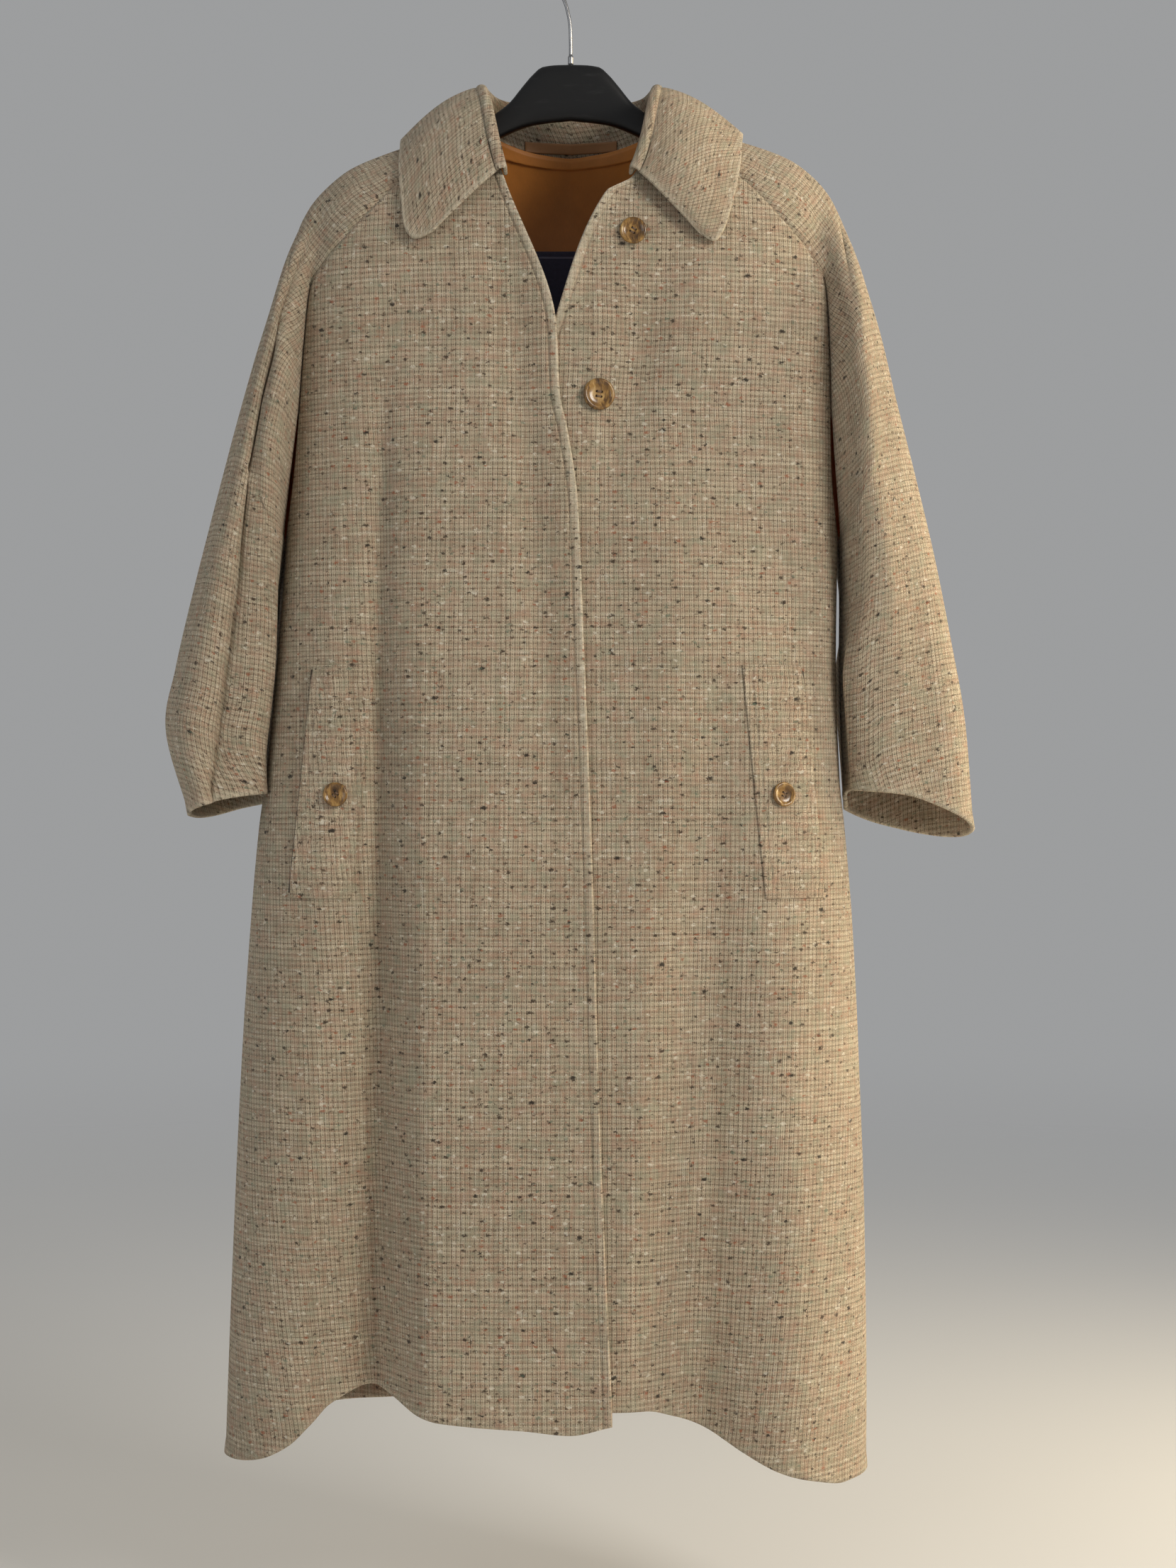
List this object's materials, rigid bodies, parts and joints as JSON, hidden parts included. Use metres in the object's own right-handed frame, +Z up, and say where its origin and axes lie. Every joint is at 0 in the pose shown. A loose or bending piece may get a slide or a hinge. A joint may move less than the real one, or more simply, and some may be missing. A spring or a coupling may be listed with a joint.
{
  "type": "tweed coat on a hanger",
  "caption": "Long single-breasted tweed raglan coat with a turn-down collar, fly front and slanted welt pockets, hanging open at the neck on a plastic hanger.",
  "frame": {"origin": "inside top of the hook, where a rail bears", "axes": "+Z up, +X to the viewer's right across the shoulders, -Y out of the coat's front"},
  "size_m": [0.6821, 0.2531, 1.2789],
  "materials": {
    "tweed": "fuzzy flecked tweed",
    "lining": "satin",
    "label": "woven",
    "loop": "satin",
    "horn": "polished horn look",
    "plastic": "moulded",
    "steel": "bright wire"
  },
  "bodies": {
    "root": {"front_right": "tweed", "front_left": "tweed", "back": "tweed", "sleeve_right": "tweed", "sleeve_left": "tweed", "collar": "tweed", "pocket_welt_right": "tweed", "pocket_welt_left": "tweed", "back_lining": "lining", "label": "label", "hanging_loop": "loop", "button_top": "horn", "button_front": "horn", "button_pocket_right": "horn", "button_pocket_left": "horn", "hanger_body": "plastic", "hanger_hook": "steel"}
  },
  "joints": []
}
